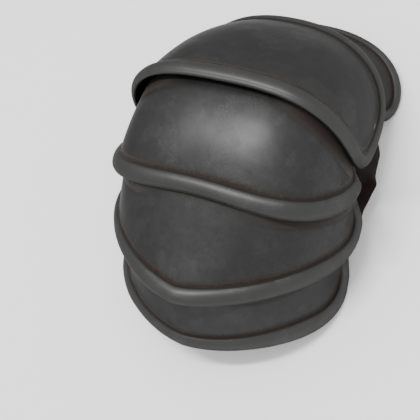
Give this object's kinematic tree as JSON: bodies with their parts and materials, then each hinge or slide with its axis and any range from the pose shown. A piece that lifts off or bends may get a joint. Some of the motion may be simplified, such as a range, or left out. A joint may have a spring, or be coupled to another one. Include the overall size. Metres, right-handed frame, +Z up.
{
  "type": "pauldron",
  "caption": "Shoulder armour of overlapping blackened steel lames with raised rolled rims, riveted inside to a leather at the front and the rear, open underneath.",
  "frame": {"origin": "middle of the footprint, on the surface that it lies on", "axes": "+Z up with the hollow facing down, +Y towards the neck end, +X towards the side whose leather shows in the picture"},
  "size_m": [0.1748, 0.2634, 0.1328],
  "materials": {
    "blackened_steel": "blackened, softly burnished, with brown dirt along the rims",
    "leather": "dark brown, worn, matt",
    "rivet_steel": "blackened, hammered dome inside and filed flush outside"
  },
  "bodies": {
    "root": {"collar_lame": "blackened_steel", "top_lame": "blackened_steel", "shoulder_cop": "blackened_steel", "upper_arm_lame": "blackened_steel", "lower_arm_lame": "blackened_steel", "front_leather": "leather", "rear_leather": "leather", "front_collar_rivet": "rivet_steel", "rear_collar_rivet": "rivet_steel", "front_top_rivet": "rivet_steel", "rear_top_rivet": "rivet_steel", "front_shoulder_cop_rivet": "rivet_steel", "rear_shoulder_cop_rivet": "rivet_steel", "front_upper_arm_rivet": "rivet_steel", "rear_upper_arm_rivet": "rivet_steel", "front_lower_arm_rivet": "rivet_steel", "rear_lower_arm_rivet": "rivet_steel"}
  },
  "joints": []
}
